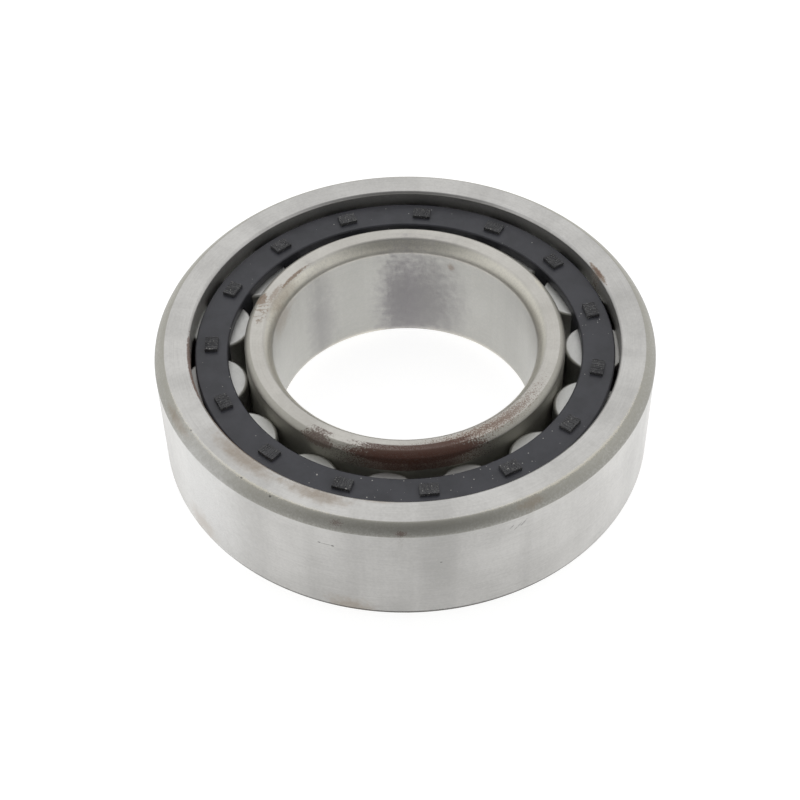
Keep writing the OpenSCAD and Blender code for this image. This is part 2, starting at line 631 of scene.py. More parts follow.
@dataclass(frozen=True)
class Band:
    """A strip of a ring that is coloured and roughened differently, such as a corner or a raceway, on
    both sides alike.

    Its colour is painted light and shade, as the rings use it. A deep colour takes over towards the ring's
    middle plane, as painted shade that darkens a corner towards its wall. Soft is the width of the strip's
    edges in millimetres.
    """

    radius: float
    height: float
    width: float
    length: float
    colour: Triple
    share: float = 0.8
    rougher: float = 0.12
    deep: Triple | None = None
    soft: float = 0.06


class Effects:
    """The shader groups that more than one finish uses, each built once."""

    def __init__(self) -> None:
        """Builds the groups."""
        self.polar = polar_group()
        self.lay = lay_group()
        self.mark = mark_group()
        self.veins = vein_group()
        self.specks = speck_group()


def new_finish(name: str) -> tuple[Graph, bpy.types.Material, bpy.types.Node]:
    """Makes a material with an empty Principled BSDF.

    Args:
        name: Name of the material.

    Returns:
        The graph, the material and its shader node.
    """
    material = bpy.data.materials.new(name)
    material.use_nodes = True
    shader = material.node_tree.nodes["Principled BSDF"]
    return Graph(material.node_tree), material, shader


def own_place(graph: Graph, attribute: bool = False) -> Socket:
    """Gives the place on a surface in millimetres.

    Args:
        graph: The material's graph.
        attribute: Whether it is counted from a turned part's own axis and not from the bearing's.

    Returns:
        The place.
    """
    if attribute:
        return graph.run("ShaderNodeAttribute", {}, out="Vector", attribute_name=PLACE)
    place = graph.run("ShaderNodeTexCoord", {}, out="Object")
    return graph.run("ShaderNodeVectorMath", {0: place, "Scale": 1 / MM}, operation="SCALE")


@dataclass(frozen=True)
class SteelFinish:
    """Ground bearing steel, lightly stained and rusted, with painted light and shade in its bands and some
    marks.
    """

    name: str
    light: Triple
    shade: Triple
    roughness: float = 0.34
    streaks: float = 0.0
    middle: float = 0.0
    marks: tuple[Mark, ...] = ()
    bands: tuple[Band, ...] = ()
    own_axis: bool = False

    def build(self, effects: Effects) -> bpy.types.Material:
        """Builds the material.

        Args:
            effects: The shared shader groups.

        Returns:
            The material.
        """
        graph, material, shader = new_finish(self.name)
        place = own_place(graph)
        polar = graph.place(effects.polar, Place=own_place(graph, True) if self.own_axis else place)
        angle, radius, height = polar.outputs
        lay = graph.place(effects.lay, Angle=angle, Radius=radius, Height=height, Long=5.0,
                          Fine=7.0).outputs[0]
        cloud = graph.noise(place, 0.09, 3.0)
        fine = graph.noise(place, 2.2, 3.0)
        grit = graph.noise(place, 3.0, 4.0, 0.7)
        tone = graph.math("ADD", graph.math("MULTIPLY", lay, 0.40), graph.math("MULTIPLY", cloud, 0.55))
        tone = graph.math("ADD", tone, graph.math("MULTIPLY", fine, 0.30))
        colour = graph.mix(graph.ramp(tone, 0.42, 0.86), self.light, self.shade)
        rough: object = graph.math("ADD", graph.math("MULTIPLY", fine, 0.10), self.roughness - 0.05)
        # Darker vertical streaks round the walls: mottling of the steel, and partly painted reflection bands
        if self.streaks:
            streak = graph.place(effects.lay, Angle=angle, Radius=0.0, Height=0.0, Long=4.0,
                                 Fine=1.0).outputs[0]
            share = graph.math("MULTIPLY", graph.ramp(streak, 0.42, 0.62), self.streaks)
            colour = graph.mix(share, colour, tuple(0.62 * c for c in self.shade))
        for band in self.bands:
            mask = self.band_mask(graph, radius, height, band)
            patchy = graph.ramp(grit, 0.30, 0.62, 0.55 * band.share, band.share)
            speckled = graph.math("MULTIPLY", mask, patchy)
            tint: object = band.colour
            if band.deep:
                depth = graph.ramp(graph.math("ABSOLUTE", height), band.height, band.height - band.length)
                tint = graph.mix(depth, band.colour, band.deep)
            colour = graph.mix(speckled, colour, tint)
            rough = graph.math("ADD", rough, graph.math("MULTIPLY", mask, band.rougher))
        if self.marks:
            colour, cover = self.overlaid(graph, effects, place, (angle, radius, height), colour)
            graph.feed(shader.inputs["Metallic"], graph.ramp(cover, 0.0, 1.0, 1.0, 0.1))
            rough = graph.math("ADD", rough, graph.math("MULTIPLY", cover, 0.3))
        else:
            shader.inputs["Metallic"].default_value = 1.0
        graph.feed(shader.inputs["Base Color"], colour)
        graph.feed(shader.inputs["Roughness"], rough)
        graph.feed(shader.inputs["Normal"], graph.run(
            "ShaderNodeBump", {"Strength": 0.25, "Distance": 0.01 * MM,
                               "Height": graph.math("ADD", lay, graph.math("MULTIPLY", fine, 0.5))}))
        return material

    def overlaid(self, graph: Graph, effects: Effects, place: Socket,
                polar: tuple[Socket, ...], colour: Socket
                ) -> tuple[Socket, object]:
        """Lays the marks, stains and painted light and shade alike, over a colour.

        Args:
            graph: The material's graph.
            effects: The shared shader groups.
            place: The place on the surface, in millimetres.
            polar: Its angle, radius and height.
            colour: The steel's own colour.

        Returns:
            The marked colour, and how much the marks cover.
        """
        angle, radius, height = polar
        outside = graph.ramp(radius, self.middle - WALL_BLEND, self.middle + WALL_BLEND)
        on_wall = {Wall.TOP: graph.ramp(height, FACE_FROM, FACE_FULL),
                   Wall.BOTTOM: graph.ramp(height, -FACE_FROM, -FACE_FULL),
                   Wall.OUTSIDE: outside, Wall.BORE: graph.math("SUBTRACT", 1.0, outside)}
        torn = {Tear.COARSE: graph.noise(place, 0.8, 6.0, 0.65), Tear.FINE: graph.noise(place, 3.2, 5.0, 0.7),
                Tear.SPECKLED: graph.ramp(graph.noise(place, 4.5, 4.0, 0.75), 0.34, 0.66)}
        torn[Tear.VEINED] = torn[Tear.COARSE]
        veins = graph.place(effects.veins, Place=place, Fine=0.34, Line=0.03).outputs[0]
        cover: object = 0.0
        for mark in self.marks:
            flat = mark.wall in (Wall.TOP, Wall.BOTTOM)
            made = graph.place(
                effects.mark, Angle=angle, Across=radius if flat else height, Torn=torn[mark.tear],
                Middle_Angle=(mark.start + mark.end) / 2, Half_Angle=(mark.end - mark.start) / 2,
                Middle_Across=(mark.low + mark.high) / 2, Half_Across=(mark.high - mark.low) / 2,
                Ragged=mark.ragged, Lean=mark.lean, Soft=mark.soft).outputs[0]
            patchy = graph.ramp(torn[Tear.SPECKLED], 0.0, 0.8, 0.7 * mark.strength, mark.strength)
            share = graph.math("MULTIPLY", graph.math("MULTIPLY", made, on_wall[mark.wall]), patchy)
            if mark.tear is Tear.VEINED:
                share = graph.math("MULTIPLY", share, veins)
            colour = graph.mix(share, colour, mark.stain.value)
            cover = graph.math("MAXIMUM", cover, share)
        return colour, cover

    @staticmethod
    def band_mask(graph: Graph, radius: object, height: object, band: Band) -> Socket:
        """Masks a band.

        Args:
            graph: The material's graph.
            radius: Radius of the place.
            height: Height of the place.
            band: The band.

        Returns:
            The mask.
        """
        off_radius = graph.math("ABSOLUTE", graph.math("SUBTRACT", radius, band.radius))
        level = graph.math("ABSOLUTE", height)
        off_height = graph.math("ABSOLUTE", graph.math("SUBTRACT", level, band.height))
        return graph.math("MULTIPLY", graph.ramp(off_radius, band.width, band.width - band.soft),
                          graph.ramp(off_height, band.length, band.length - band.soft))


@dataclass(frozen=True)
class CageFinish:
    """Black glass-filled plastic with a satin skin and some dust."""

    name: str = "cage_black"
    light: Triple = (0.049, 0.050, 0.061)
    shade: Triple = (0.035, 0.036, 0.044)
    roughness: float = 0.42
    dust: Triple = (0.62, 0.61, 0.57)
    dusty_angles: tuple[Point, ...] = ((276.0, 0.75), (8.0, 0.985))
    least_dust: float = 0.03
    most_dust: float = 0.30
    # Share of whitish flecks on the bars' heads: frayed plastic, and partly painted glints
    torn: float = 0.0

    def build(self, effects: Effects) -> bpy.types.Material:
        """Builds the material.

        Args:
            effects: The shared shader groups.

        Returns:
            The material.
        """
        graph, material, shader = new_finish(self.name)
        place = own_place(graph)
        angle = graph.place(effects.polar, Place=place).outputs["Angle"]
        cloud = graph.noise(place, 0.25, 4.0)
        skin = graph.noise(place, 6.0, 3.0)
        colour = graph.mix(graph.ramp(cloud, 0.35, 0.7), self.light, self.shade)
        share: object = self.least_dust
        for middle, reach in self.dusty_angles:
            toward = graph.math("COSINE", graph.math("RADIANS", graph.math("SUBTRACT", angle, middle)))
            dusty = graph.ramp(toward, reach, 1.0, self.least_dust, self.most_dust)
            share = graph.math("MAXIMUM", share, dusty)
        for fine, size in ((0.9, 0.16), (1.9, 0.20)):
            specks = graph.place(effects.specks, Place=place, Fine=fine, Size=size, Share=share).outputs[0]
            colour = graph.mix(graph.math("MULTIPLY", specks, 0.75), colour, self.dust)
        if self.torn:
            frayed = graph.ramp(graph.noise(place, 4.5, 4.0, 0.7), 0.57, 0.70, 0.0, self.torn)
            colour = graph.mix(frayed, colour, self.dust)
        graph.feed(shader.inputs["Base Color"], colour)
        graph.feed(shader.inputs["Roughness"], graph.ramp(skin, 0.2, 0.8, self.roughness - 0.06,
                                                          self.roughness + 0.10))
        graph.feed(shader.inputs["Normal"], graph.run(
            "ShaderNodeBump", {"Strength": 0.35, "Distance": 0.02 * MM, "Height": skin}))
        return material


@dataclass(frozen=True)
class Span:
    """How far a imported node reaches, in millimetres, measured from the bearing's axis and middle plane."""

    inner: float
    outer: float
    low: float
    high: float

    @classmethod
    def of(cls, node: bpy.types.Object, axis: Point = (0.0, 0.0)) -> Span:
        """Measures a node.

        Args:
            node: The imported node's object.
            axis: Where the axis stands, in metres.

        Returns:
            Its span.
        """
        radii = [math.hypot(v.co.x - axis[0], v.co.y - axis[1]) / MM for v in node.data.vertices]
        heights = [v.co.z / MM for v in node.data.vertices]
        return cls(min(radii), max(radii), min(heights), max(heights))


SCRATCHES = ((292.2, 292.6, 7.6, 8.4), (293.1, 293.6, 7.0, 7.6), (293.9, 294.3, 7.3, 8.3),
             (294.9, 295.4, 7.4, 8.7))
OUTER_MARKS = (
    Mark(StainAndLight.BROWN, Wall.TOP, 17.5, 27.5, 36.45, 37.4, 0.75, 1.8, Tear.FINE),
    Mark(StainAndLight.RUST, Wall.TOP, 20, 25, 36.6, 37.2, 0.55, 1.8, Tear.FINE),
    Mark(StainAndLight.RUST, Wall.TOP, 178, 206, 36.35, 36.95, 0.85, 2.0, Tear.FINE),
    Mark(StainAndLight.BROWN, Wall.TOP, 204, 246, 36.3, 36.85, 0.75, 1.8, Tear.FINE),
    Mark(StainAndLight.TAN, Wall.TOP, 212, 241, 35.6, 40.0, 0.62, 1.2, soft=0.9),
    Mark(StainAndLight.TAN, Wall.TOP, 236, 260, 35.8, 39.8, 0.62, 1.2, soft=0.9),
    Mark(StainAndLight.TAN, Wall.TOP, 256, 270, 36.1, 37.4, 0.40, 1.6, soft=0.9),
    # Painted highlight along the crease between the top face and the outside corner, where the light catches
    Mark(StainAndLight.CREAM, Wall.TOP, 200, 254, 40.35, 40.95, 0.8, 1.2, Tear.SPECKLED, soft=0.6),
    Mark(StainAndLight.CREAM, Wall.TOP, 284, 342, 40.35, 40.95, 0.8, 1.2, Tear.SPECKLED, soft=0.6),
    Mark(StainAndLight.TAN, Wall.TOP, 200, 214, 40.9, 42.3, 0.45, 2.0, Tear.FINE, soft=0.6),
    Mark(StainAndLight.TAN, Wall.TOP, 293, 302, 40.7, 42.4, 0.40, 1.6, soft=0.7),
    Mark(StainAndLight.DARK, Wall.TOP, 253.6, 255.8, 41.3, 42.0, 0.6, 1.6, Tear.SPECKLED),
    Mark(StainAndLight.DARK, Wall.TOP, 267.4, 269.6, 41.9, 42.4, 0.7, 1.4, Tear.SPECKLED),
    Mark(StainAndLight.SOOT_AND_SHADE, Wall.TOP, 211.2, 211.9, 40.5, 40.9, 0.8, 1.0, Tear.FINE),
    Mark(StainAndLight.SOOT_AND_SHADE, Wall.TOP, 230.0, 230.7, 40.6, 40.9, 0.8, 1.0, Tear.FINE),
    Mark(StainAndLight.SOOT_AND_SHADE, Wall.TOP, 238.3, 239.0, 40.9, 41.3, 0.8, 1.0, Tear.FINE),
    # Painted light: the outside wall paler from 198° to 238°
    Mark(StainAndLight.PALE, Wall.OUTSIDE, 198, 238, -22.0, 22.0, 0.64, 0.6, soft=0.9),
    Mark(StainAndLight.TAN, Wall.OUTSIDE, 209, 224, -11.3, -3.5, 0.38, 1.8, soft=0.9),
    Mark(StainAndLight.TAN, Wall.OUTSIDE, 250, 264, -12.0, -6.0, 0.50, 1.8, soft=0.9),
    # Painted shade: a dark line along the crease between the outside wall and its lower corner
    Mark(StainAndLight.SOOT_AND_SHADE, Wall.OUTSIDE, 205, 335, -9.9, -9.35, 0.8, 1.2, Tear.FINE, soft=0.6),
    Mark(StainAndLight.SOOT_AND_SHADE, Wall.OUTSIDE, 250.6, 251.3, 5.9, 6.2, 0.75, 0.6, Tear.FINE),
    Mark(StainAndLight.SOOT_AND_SHADE, Wall.OUTSIDE, 250.8, 254.0, 5.85, 6.05, 0.45, 0.6, Tear.FINE),
    Mark(StainAndLight.SOOT_AND_SHADE, Wall.OUTSIDE, 253.6, 254.3, 5.7, 6.1, 0.75, 0.6, Tear.FINE),
    *(Mark(StainAndLight.SOOT_AND_SHADE, Wall.OUTSIDE, *scratch, 0.45, 2.2, Tear.FINE, 1.2) for scratch in SCRATCHES),
    Mark(StainAndLight.SOOT_AND_SHADE, Wall.OUTSIDE, 276.7, 277.3, 2.9, 3.2, 0.7, 0.6, Tear.FINE),
    Mark(StainAndLight.RUST, Wall.OUTSIDE, 268.5, 271.5, -11.4, -9.9, 0.6, 2.0, Tear.FINE),
    Mark(StainAndLight.TAN, Wall.BOTTOM, 30, 58, 36.0, 39.0, 0.40, 1.4, soft=0.8),
    Mark(StainAndLight.RUST, Wall.BOTTOM, 130, 142, 36.2, 37.6, 0.7, 1.8, Tear.FINE))

INNER_MARKS = (
    Mark(StainAndLight.TAN, Wall.TOP, 276, 326, 23.8, 26.8, 0.35, 1.4, soft=0.9),
    Mark(StainAndLight.RUST, Wall.TOP, 277, 300, 24.6, 26.3, 0.66, 2.6, Tear.SPECKLED, soft=0.5),
    Mark(StainAndLight.RUST, Wall.TOP, 288, 325, 24.2, 26.3, 0.80, 2.2, Tear.SPECKLED, soft=0.5),
    # Painted shade on the side towards 270°: dark red-brown over the race corner, where it mirrors the darker
    # front, with a rust-like speckle, and a soft dark patch lower on the raceway by the cage. Small dark
    # spots lie from 231° to 245°.
    Mark(StainAndLight.DARK, Wall.OUTSIDE, 247, 300, 9.0, 12.4, 0.95, 1.4, Tear.FINE),
    Mark(StainAndLight.SOOT_AND_SHADE, Wall.OUTSIDE, 249, 297, 7.0, 9.8, 0.60, 2.0, soft=0.8),
    Mark(StainAndLight.DARK, Wall.OUTSIDE, 231, 245, 9.2, 11.8, 0.75, 1.9, Tear.FINE),
    Mark(StainAndLight.DARK, Wall.TOP, 247, 298, 26.3, 27.9, 0.93, 0.8, Tear.SPECKLED),
    Mark(StainAndLight.BROWN, Wall.TOP, 157, 164, 25.3, 27.1, 0.75, 1.8, Tear.FINE),
    Mark(StainAndLight.BROWN, Wall.TOP, 160, 174, 24.0, 26.6, 0.70, 0.8, Tear.VEINED),
    Mark(StainAndLight.BROWN, Wall.TOP, 134, 153, 23.9, 24.5, 0.75, 2.8, Tear.FINE),
    Mark(StainAndLight.BROWN, Wall.TOP, 150, 162, 24.2, 25.2, 0.45, 2.8, Tear.FINE),
    Mark(StainAndLight.TAN, Wall.TOP, 136, 176, 22.4, 24.8, 0.42, 1.4, soft=0.9),
    Mark(StainAndLight.TAN, Wall.BORE, 148, 176, 4.0, 12.0, 0.35, 1.4, soft=0.9),
    # Painted highlight by the edge of the race corner
    Mark(StainAndLight.CREAM, Wall.TOP, 22, 31, 25.7, 26.8, 0.55, 1.6, soft=0.6),
    # Painted reflection: broad violet-grey bands down the bore
    Mark(StainAndLight.VIOLET, Wall.BORE, 54, 110, -22.0, 16.0, 0.75, 0.9, soft=0.9),
    Mark(StainAndLight.VIOLET, Wall.BORE, 76, 106, -22.0, 16.0, 0.80, 1.2, soft=0.9),
    Mark(StainAndLight.VIOLET, Wall.BORE, 120, 144, -22.0, 16.0, 0.40, 1.2, soft=0.9),
    Mark(StainAndLight.BROWN, Wall.BORE, 66, 70, 6.0, 8.2, 0.40, 1.8, soft=0.8),
    Mark(StainAndLight.RUST, Wall.BOTTOM, 200, 224, 24.6, 26.0, 0.7, 3.0, Tear.FINE))


@dataclass
class Rings:
    """The outer ring, with its two flanges, and the plain inner ring."""

    lathe: Lathe
    effects: Effects
    outer_corner: float = 1.8
    bore_corner: float = 1.7
    bore_corner_length: float = 2.3
    race_corner: float = 1.0
    flange_corner: float = 0.45
    flange_edge: float = 0.1
    crown: float = 2.0
    relief: float = 0.35
    flange_width: float = 3.95
    segments: int = 384
    # Colours of the bands: olive is painted shade on the raceway, the corner greys are painted shade and
    # reflection on the corners, the mouth grey is painted light in the flanges' bore, the corner cream is a
    # painted highlight on the bore's corner, and the bore grey is painted shade in the bore
    olive: Triple = (0.48, 0.47, 0.40)
    corner_grey: Triple = (0.42, 0.41, 0.36)
    corner_deep: Triple = (0.285, 0.28, 0.25)
    mouth_grey: Triple = (0.70, 0.69, 0.65)
    corner_cream: Triple = (0.78, 0.755, 0.665)
    bore_grey: Triple = (0.42, 0.43, 0.42)

    def build_outer(self, frame: dict, race: float) -> bpy.types.Object:
        """Turns the outer ring.

        Args:
            frame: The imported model.
            race: Radius of the outer raceway, in millimetres.

        Returns:
            The piece.
        """
        span = Span.of(frame["nodes"]["outer_ring"])
        half, channel = span.high, span.high - self.flange_width
        corners = [
            Corner(span.outer, -half, self.outer_corner, self.crown),
            Corner(span.outer, half, self.outer_corner, self.crown),
            Corner(span.inner, half, self.flange_corner, self.crown),
            Corner(span.inner, channel, self.flange_edge),
            Corner(race, channel, self.relief, grooved=True),
            Corner(race, -channel, self.relief, grooved=True),
            Corner(span.inner, -channel, self.flange_edge),
            Corner(span.inner, -half, self.flange_corner, self.crown)]
        # The outside corner is painted darker as shade and reflection, darkest towards the wall, and the
        # flanges' bore is painted lighter as light
        finish = SteelFinish(
            "outer_ring_steel", (0.61, 0.602, 0.584), (0.47, 0.463, 0.448), streaks=0.20,
            middle=(race + span.outer) / 2, marks=OUTER_MARKS,
            bands=(Band(span.outer, half, self.outer_corner, self.outer_corner, self.corner_grey, 0.9, 0.16,
                        self.corner_deep),
                   Band(span.inner, half / 2, 0.3, half / 2 - self.flange_corner, self.mouth_grey, 0.8)))
        piece = self.lathe.turn("outer_ring_turned", outline(corners, True), self.segments,
                                finish.build(self.effects))
        return settle(piece, "outer_ring", Slot.RING, "outer_ring")

    def build_inner(self, frame: dict) -> bpy.types.Object:
        """Turns the inner ring.

        Args:
            frame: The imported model.

        Returns:
            The piece.
        """
        span = Span.of(frame["nodes"]["inner_ring"])
        half = span.high
        corners = [
            Corner(span.inner, half, self.bore_corner, self.crown, self.bore_corner_length),
            Corner(span.inner, -half, self.bore_corner, self.crown, self.bore_corner_length),
            Corner(span.outer, -half, self.race_corner, self.crown),
            Corner(span.outer, half, self.race_corner, self.crown)]
        # The bore's corner carries a painted highlight, the bore wall painted shade, the race corner painted
        # shade and reflection, and the raceway painted olive shade
        finish = SteelFinish(
            "inner_ring_steel", (0.58, 0.565, 0.53), (0.48, 0.465, 0.43), streaks=0.14,
            middle=(span.inner + self.bore_corner + span.outer - self.race_corner) / 2, marks=INNER_MARKS,
            bands=(Band(span.inner, half, self.bore_corner, 0.9 * self.bore_corner_length, self.corner_cream,
                        0.85, 0.06, soft=0.7),
                   Band(span.inner, 0.0, 0.3, half - self.bore_corner_length, self.bore_grey, 0.8, 0.06,
                        soft=0.5),
                   Band(span.outer, half, self.race_corner, self.race_corner, self.corner_grey),
                   Band(span.outer, 0.0, 0.15, half - self.race_corner, self.olive, 0.9, 0.25)))
        piece = self.lathe.turn("inner_ring_turned", outline(corners, True), self.segments,
                                finish.build(self.effects))
        return settle(piece, "inner_ring", Slot.RING, "inner_ring")


@dataclass
class Rollers:
    """The fifteen ground rollers, each on a body of its own."""

    lathe: Lathe
    effects: Effects
    edge: float = 0.5
    crown: float = 1.1
    segments: int = 96

    def build(self, frame: dict) -> list[bpy.types.Object]:
        """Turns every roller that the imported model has.

        Args:
            frame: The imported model.

        Returns:
            The pieces.
        """
        finish = SteelFinish("roller_steel_ground", (0.60, 0.60, 0.585), (0.52, 0.52, 0.505), roughness=0.48,
                             own_axis=True).build(self.effects)
        pieces = []
        for name in sorted(n for n in frame["nodes"] if n.startswith("roller_")):
            low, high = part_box(name)
            centre = ((low.x + high.x) / 2, (low.y + high.y) / 2)
            span = Span.of(frame["nodes"][name], centre)
            corners = [
                Corner(0.0, span.low, 0.0),
                Corner(span.outer, span.low, self.edge, self.crown),
                Corner(span.outer, span.high, self.edge, self.crown),
                Corner(0.0, span.high, 0.0)]
            piece = self.lathe.turn(f"{name}_turned", outline(corners, False), self.segments, finish, centre)
            pieces.append(settle(piece, name, Slot.ROLLER, name))
        return pieces


def settle(piece: bpy.types.Object, body: str, slot: Slot, *replaced: str) -> bpy.types.Object:
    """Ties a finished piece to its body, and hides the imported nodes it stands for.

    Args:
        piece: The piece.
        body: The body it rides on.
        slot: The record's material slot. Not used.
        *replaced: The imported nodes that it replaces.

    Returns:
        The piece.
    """
    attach(piece, body)
    if replaced:
        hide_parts(*replaced)
    LOG.info("%s rides on %s, %d faces", piece.name, body, len(piece.data.polygons))
    return piece


def head_tree() -> bpy.types.NodeTree:
    """Builds the geometry tree for the bars' heads, flattened by staking and rough on top.

    A block stands at each bar. Its top is drawn into ridges that run outwards, and its edges are torn a
    little.

    Returns:
        The tree.
    """
    graph, given, made = new_tree(
        "staked heads", "GeometryNodeTree",
        {"Count": ("Int", 15), "First Angle": ("Float", 0.2), "Step": ("Float", 0.4),
         "Radius": ("Float", 33.0), "Foot": ("Float", 9.2), "Size": ("Vector", (2.6, 3.3, 0.5)),
         "Ridge Pitch": ("Float", 0.5), "Ridge Height": ("Float", 0.1), "Rough": ("Float", 0.2),
         "Turn": ("Float", 0.04), "Seed": ("Int", 1), "Unit": ("Float", MM), "Finish": ("Material", None)},
        {"Heads": "Geometry"})
    size = graph.node("ShaderNodeSeparateXYZ")
    graph.feed(size.inputs[0], given["Size"])
    steps = {f"Vertices {axis}": count for axis, count in zip("XYZ", HEAD_STEPS)}
    block = graph.run("GeometryNodeMeshCube", {"Size": given["Size"], **steps}, out="Mesh")
    local = graph.run("GeometryNodeInputPosition", {})
    marked = graph.run("GeometryNodeStoreNamedAttribute", {"Geometry": block, "Name": PLACE, "Value": local},
                       data_type="FLOAT_VECTOR", domain="POINT")
    index = graph.run("GeometryNodeInputIndex", {})
    angle = graph.math("ADD", given["First Angle"], graph.math("MULTIPLY", index, given["Step"]))
    middle = graph.math("ADD", given["Foot"], graph.math("DIVIDE", size.outputs["Z"], 2.0))
    spot = graph.run("ShaderNodeCombineXYZ", {
        "X": graph.math("MULTIPLY", graph.math("COSINE", angle), given["Radius"]),
        "Y": graph.math("MULTIPLY", graph.math("SINE", angle), given["Radius"]), "Z": middle})
    points = graph.run("GeometryNodePoints", {"Count": given["Count"], "Position": spot})
    turn = graph.node("FunctionNodeRandomValue", data_type="FLOAT")
    graph.feed(turn.inputs[2], graph.math("MULTIPLY", given["Turn"], -1.0))
    graph.feed(turn.inputs[3], given["Turn"])
    graph.feed(turn.inputs["Seed"], given["Seed"])
    facing = graph.run("ShaderNodeCombineXYZ", {"Z": graph.math("ADD", angle, turn.outputs[1])})
    spin = graph.run("FunctionNodeEulerToRotation", {0: facing})
    heads = graph.run("GeometryNodeInstanceOnPoints",
                      {"Points": points, "Instance": marked, "Rotation": spin})
    real = graph.run("GeometryNodeRealizeInstances", {"Geometry": heads})
    own = graph.node("ShaderNodeSeparateXYZ")
    graph.feed(own.inputs[0], graph.run("GeometryNodeInputNamedAttribute", {"Name": PLACE}, out="Attribute",
                                        data_type="FLOAT_VECTOR"))
    here = graph.run("GeometryNodeInputPosition", {})
    lift = graph.ramp(graph.math("DIVIDE", own.outputs["Z"], size.outputs["Z"]), -0.5, 0.5)
    top = graph.math("GREATER_THAN", lift, 0.99)
    wobble = graph.noise(here, 0.8, 2.0)
    wave = graph.math("DIVIDE", graph.math("ADD", own.outputs["Y"], wobble), given["Ridge Pitch"])
    ridge = graph.math("MULTIPLY", graph.math("SINE", graph.math("MULTIPLY", wave, math.tau)), 0.5)
    crumb = graph.math("SUBTRACT", graph.noise(here, 2.6, 4.0, 0.7), 0.5)
    rise = graph.math("MULTIPLY", top, graph.math(
        "ADD", graph.math("MULTIPLY", graph.math("ADD", ridge, 0.5), given["Ridge Height"]),
        graph.math("MULTIPLY", graph.math("MAXIMUM", graph.math("ADD", crumb, 0.25), 0.0), given["Rough"])))
    tear = graph.run("ShaderNodeTexNoise", {"Vector": here, "Scale": 1.9, "Detail": 3.0}, out="Color")
    centred = graph.run("ShaderNodeVectorMath", {0: tear, 1: (0.5, 0.5, 0.5)}, operation="SUBTRACT")
    spread = graph.run("ShaderNodeVectorMath", {0: centred, 1: (1.0, 1.0, 0.0)}, operation="MULTIPLY")
    torn = graph.run("ShaderNodeVectorMath", {
        0: spread, "Scale": graph.math("MULTIPLY", given["Rough"], lift)},
        operation="SCALE")
    upward = graph.run("ShaderNodeCombineXYZ", {"Z": rise})
    moved = graph.run("ShaderNodeVectorMath", {0: torn, 1: upward}, operation="ADD")
    shaped = graph.run("GeometryNodeSetPosition", {"Geometry": real, "Offset": moved})
    sized = graph.run("GeometryNodeTransform", {"Geometry": shaped, "Scale": graph.run(
        "ShaderNodeCombineXYZ", {"X": given["Unit"], "Y": given["Unit"], "Z": given["Unit"]})})
    whole = graph.run("GeometryNodeRealizeInstances", {"Geometry": sized})
    dressed = graph.run("GeometryNodeSetMaterial", {"Geometry": whole, "Material": given["Finish"]})
    graph.feed(made["Heads"], dressed)
    return graph.tree


@dataclass
class Cage:
    """The cage: its comb and cover as packed, and the rough heads of the bars' ends."""

    effects: Effects
    first_bar: float = 12.0
    step: float = 24.0
    bar_radius: float = 32.95
    head_size: Triple = (2.16, 3.08, 0.46)
    ridge_pitch: float = 0.46
    ridge_height: float = 0.12
    rough: float = 0.20
    seed: int = 4

    def build(self, frame: dict) -> bpy.types.Object:
        """Dresses the comb and the cover, and adds the heads.

        Args:
            frame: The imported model.

        Returns:
            The heads.
        """
        black = CageFinish().build(self.effects)
        for name in ("cage_comb", "cage_cover"):
            frame["nodes"][name].data.materials.clear()
            frame["nodes"][name].data.materials.append(black)
        # The heads' whitish flecks are frayed plastic and partly painted glints
        rough_black = CageFinish("cage_black_torn", (0.070, 0.070, 0.074), (0.036, 0.036, 0.040), 0.55,
                                 least_dust=0.20, most_dust=0.60, torn=0.55).build(self.effects)
        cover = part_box("cage_cover")[1].z / MM
        heads = run_tree(new_piece("cage_heads"), head_tree(), {
            "Count": round(360 / self.step), "First Angle": math.radians(self.first_bar),
            "Step": math.radians(self.step), "Radius": self.bar_radius, "Foot": cover, "Size": self.head_size,
            "Ridge Pitch": self.ridge_pitch, "Ridge Height": self.ridge_height, "Rough": self.rough,
            "Seed": self.seed, "Finish": rough_black})
        return settle(heads, "cage", Slot.CAGE)


